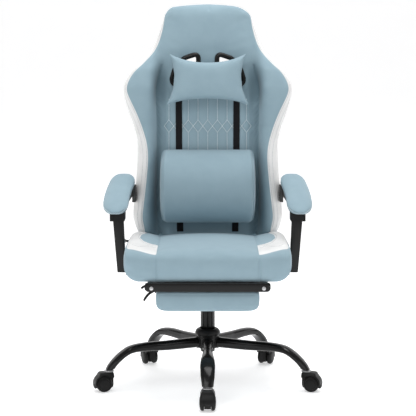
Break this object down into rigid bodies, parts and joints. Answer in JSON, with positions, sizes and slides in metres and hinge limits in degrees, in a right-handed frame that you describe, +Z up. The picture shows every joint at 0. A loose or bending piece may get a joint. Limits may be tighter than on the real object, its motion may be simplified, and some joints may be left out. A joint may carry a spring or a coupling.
{
  "type": "gaming chair",
  "caption": "High-backed swivel chair with winged padded back, headrest and lumbar pillows, linked padded arms, pull-out footrest and a star base on twin-wheel casters.",
  "frame": {"origin": "on the floor, under the axis of the lift column", "axes": "+Z up, the sitter faces -Y, the sitter's left is +X"},
  "size_m": [0.7178, 0.7401, 1.197],
  "materials": {
    "blue_fabric": "matte woven upholstery, grey blue",
    "black_paint": "gloss black powder coat",
    "black_nylon": "fine-textured black nylon",
    "gloss_trim": "polished black plastic",
    "webbing": "black woven webbing",
    "steel": "bright ground steel",
    "plywood": "bare plywood"
  },
  "bodies": {
    "base": {"base_hub": "black_paint", "column_collar": "black_nylon", "column_tube": "black_paint", "base_leg_1": "black_paint", "base_leg_2": "black_paint", "base_leg_3": "black_paint", "base_leg_4": "black_paint", "base_leg_5": "black_paint"},
    "caster_1_swivel": {"caster_1_stem": "steel", "caster_1_hood": "black_nylon"},
    "caster_1_wheel_left_body": {"caster_1_wheel_left": "black_nylon"},
    "caster_1_wheel_right_body": {"caster_1_wheel_right": "black_nylon"},
    "caster_2_swivel": {"caster_2_stem": "steel", "caster_2_hood": "black_nylon"},
    "caster_2_wheel_left_body": {"caster_2_wheel_left": "black_nylon"},
    "caster_2_wheel_right_body": {"caster_2_wheel_right": "black_nylon"},
    "caster_3_swivel": {"caster_3_stem": "steel", "caster_3_hood": "black_nylon"},
    "caster_3_wheel_left_body": {"caster_3_wheel_left": "black_nylon"},
    "caster_3_wheel_right_body": {"caster_3_wheel_right": "black_nylon"},
    "caster_4_swivel": {"caster_4_stem": "steel", "caster_4_hood": "black_nylon"},
    "caster_4_wheel_left_body": {"caster_4_wheel_left": "black_nylon"},
    "caster_4_wheel_right_body": {"caster_4_wheel_right": "black_nylon"},
    "caster_5_swivel": {"caster_5_stem": "steel", "caster_5_hood": "black_nylon"},
    "caster_5_wheel_left_body": {"caster_5_wheel_left": "black_nylon"},
    "caster_5_wheel_right_body": {"caster_5_wheel_right": "black_nylon"},
    "lift": {"gas_spring": "steel"},
    "mechanism": {"tilt_housing": "black_paint"},
    "tension_knob_body": {"tension_knob": "black_nylon"},
    "height_lever_body": {"height_lever": "black_nylon"},
    "tilt_lock_body": {"tilt_lock_lever": "black_nylon"},
    "seat": {"seat_plate": "black_paint", "seat_board": "plywood", "seat_cushion": "blue_fabric", "side_rail_left": "black_paint", "side_rail_right": "black_paint", "footrest_guide_left": "black_paint", "footrest_guide_right": "black_paint"},
    "back": {"back_cushion": "blue_fabric", "back_bracket_left": "black_paint", "back_bracket_right": "black_paint", "back_strap_left": "webbing", "back_strap_right": "webbing", "belt_trim_left": "gloss_trim", "belt_trim_right": "gloss_trim", "arm_bracket_left": "black_nylon", "arm_bracket_right": "black_nylon"},
    "recline_lever_body": {"recline_lever": "black_nylon"},
    "head_pillow_body": {"head_pillow": "blue_fabric"},
    "lumbar_pillow_body": {"lumbar_pillow": "blue_fabric"},
    "arm_left": {"arm_pad_left": "blue_fabric", "arm_plate_left": "black_nylon"},
    "post_left": {"arm_post_left": "black_paint"},
    "arm_right": {"arm_pad_right": "blue_fabric", "arm_plate_right": "black_nylon"},
    "post_right": {"arm_post_right": "black_paint"},
    "footrest": {"footrest_frame": "black_paint"},
    "footrest_pad_body": {"footrest_pad": "blue_fabric"}
  },
  "joints": [
    {"name": "caster_1_swivel_turn", "type": "hinge", "parent": "base", "child": "caster_1_swivel", "pos_m": [0, -0.322, 0.061], "axis": [0, 0, 1], "continuous": true},
    {"name": "caster_1_wheel_left_spin", "type": "hinge", "parent": "caster_1_swivel", "child": "caster_1_wheel_left_body", "pos_m": [0, -0.341, 0.025], "axis": [1, 0, 0], "continuous": true},
    {"name": "caster_1_wheel_right_spin", "type": "hinge", "parent": "caster_1_swivel", "child": "caster_1_wheel_right_body", "pos_m": [0, -0.341, 0.025], "axis": [1, 0, 0], "continuous": true},
    {"name": "caster_2_swivel_turn", "type": "hinge", "parent": "base", "child": "caster_2_swivel", "pos_m": [0.30624, -0.0995, 0.061], "axis": [0, 0, 1], "continuous": true},
    {"name": "caster_2_wheel_left_spin", "type": "hinge", "parent": "caster_2_swivel", "child": "caster_2_wheel_left_body", "pos_m": [0.32431, -0.10537, 0.025], "axis": [0.309, 0.9511, 0], "continuous": true},
    {"name": "caster_2_wheel_right_spin", "type": "hinge", "parent": "caster_2_swivel", "child": "caster_2_wheel_right_body", "pos_m": [0.32431, -0.10537, 0.025], "axis": [0.309, 0.9511, 0], "continuous": true},
    {"name": "caster_3_swivel_turn", "type": "hinge", "parent": "base", "child": "caster_3_swivel", "pos_m": [0.18927, 0.2605, 0.061], "axis": [0, 0, 1], "continuous": true},
    {"name": "caster_3_wheel_left_spin", "type": "hinge", "parent": "caster_3_swivel", "child": "caster_3_wheel_left_body", "pos_m": [0.197, 0.27786, 0.025], "axis": [-0.9135, 0.4067, 0], "continuous": true},
    {"name": "caster_3_wheel_right_spin", "type": "hinge", "parent": "caster_3_swivel", "child": "caster_3_wheel_right_body", "pos_m": [0.197, 0.27786, 0.025], "axis": [-0.9135, 0.4067, 0], "continuous": true},
    {"name": "caster_4_swivel_turn", "type": "hinge", "parent": "base", "child": "caster_4_swivel", "pos_m": [-0.18927, 0.2605, 0.061], "axis": [0, 0, 1], "continuous": true},
    {"name": "caster_4_wheel_left_spin", "type": "hinge", "parent": "caster_4_swivel", "child": "caster_4_wheel_left_body", "pos_m": [-0.197, 0.27786, 0.025], "axis": [-0.9135, -0.4067, 0], "continuous": true},
    {"name": "caster_4_wheel_right_spin", "type": "hinge", "parent": "caster_4_swivel", "child": "caster_4_wheel_right_body", "pos_m": [-0.197, 0.27786, 0.025], "axis": [-0.9135, -0.4067, 0], "continuous": true},
    {"name": "caster_5_swivel_turn", "type": "hinge", "parent": "base", "child": "caster_5_swivel", "pos_m": [-0.30624, -0.0995, 0.061], "axis": [0, 0, 1], "continuous": true},
    {"name": "caster_5_wheel_left_spin", "type": "hinge", "parent": "caster_5_swivel", "child": "caster_5_wheel_left_body", "pos_m": [-0.32431, -0.10537, 0.025], "axis": [0.309, -0.9511, 0], "continuous": true},
    {"name": "caster_5_wheel_right_spin", "type": "hinge", "parent": "caster_5_swivel", "child": "caster_5_wheel_right_body", "pos_m": [-0.32431, -0.10537, 0.025], "axis": [0.309, -0.9511, 0], "continuous": true},
    {"name": "lift_slide", "type": "slide", "parent": "base", "child": "lift", "axis": [0, 0, 1], "range_m": [0, 0.08]},
    {"name": "seat_swivel", "type": "hinge", "parent": "lift", "child": "mechanism", "pos_m": [0, 0, 0.3], "axis": [0, 0, 1], "continuous": true},
    {"name": "tension_knob_turn", "type": "hinge", "parent": "mechanism", "child": "tension_knob_body", "pos_m": [0, -0.062, 0.275], "axis": [0, 0, 1], "continuous": true},
    {"name": "height_lever_lift", "type": "hinge", "parent": "mechanism", "child": "height_lever_body", "pos_m": [-0.0556, 0.02, 0.305], "axis": [0, 1, 0], "range_deg": [0, 6], "stiffness_Nm_per_rad": 6, "springref_deg": -6.88},
    {"name": "tilt_lock_pull", "type": "slide", "parent": "mechanism", "child": "tilt_lock_body", "axis": [-1, 0, 0], "range_m": [0, 0.015]},
    {"name": "seat_rock", "type": "hinge", "parent": "mechanism", "child": "seat", "pos_m": [0, -0.06, 0.345], "axis": [-1, 0, 0], "range_deg": [0, 12], "stiffness_Nm_per_rad": 90, "springref_deg": -28.65},
    {"name": "back_recline", "type": "hinge", "parent": "seat", "child": "back", "pos_m": [0, 0.222, 0.425], "axis": [-1, 0, 0], "range_deg": [0, 45]},
    {"name": "recline_lever_lift", "type": "hinge", "parent": "seat", "child": "recline_lever_body", "pos_m": [-0.2254, 0.222, 0.425], "axis": [-1, 0, 0], "range_deg": [0, 18], "stiffness_Nm_per_rad": 2, "springref_deg": -11.46},
    {"name": "head_pillow_slide", "type": "slide", "parent": "back", "child": "head_pillow_body", "axis": [0, 0.1406, 0.9901], "range_m": [-0.03, 0.04]},
    {"name": "lumbar_pillow_slide", "type": "slide", "parent": "back", "child": "lumbar_pillow_body", "axis": [0, 0.1406, 0.9901], "range_m": [-0.012, 0.08]},
    {"name": "arm_left_pivot", "type": "hinge", "parent": "back", "child": "arm_left", "pos_m": [0.252, 0.192, 0.59], "axis": [-1, 0, 0], "range_deg": [-45, 0]},
    {"name": "post_left_pivot", "type": "hinge", "parent": "seat", "child": "post_left", "pos_m": [0.2696, -0.03, 0.376], "axis": [-1, 0, 0], "range_deg": [0, 45]},
    {"name": "arm_right_pivot", "type": "hinge", "parent": "back", "child": "arm_right", "pos_m": [-0.252, 0.192, 0.59], "axis": [-1, 0, 0], "range_deg": [-45, 0]},
    {"name": "post_right_pivot", "type": "hinge", "parent": "seat", "child": "post_right", "pos_m": [-0.2696, -0.03, 0.376], "axis": [-1, 0, 0], "range_deg": [0, 45]},
    {"name": "footrest_slide", "type": "slide", "parent": "seat", "child": "footrest", "axis": [0, -1, 0], "range_m": [0, 0.2]},
    {"name": "footrest_pad_flip", "type": "hinge", "parent": "footrest", "child": "footrest_pad_body", "pos_m": [0, -0.261, 0.353], "axis": [-1, 0, 0], "range_deg": [0, 180]}
  ],
  "couplings": [
    {"joint": "arm_left_pivot", "follows": "back_recline", "ratio": -1},
    {"joint": "post_left_pivot", "follows": "back_recline", "ratio": 1},
    {"joint": "arm_right_pivot", "follows": "back_recline", "ratio": -1},
    {"joint": "post_right_pivot", "follows": "back_recline", "ratio": 1}
  ]
}
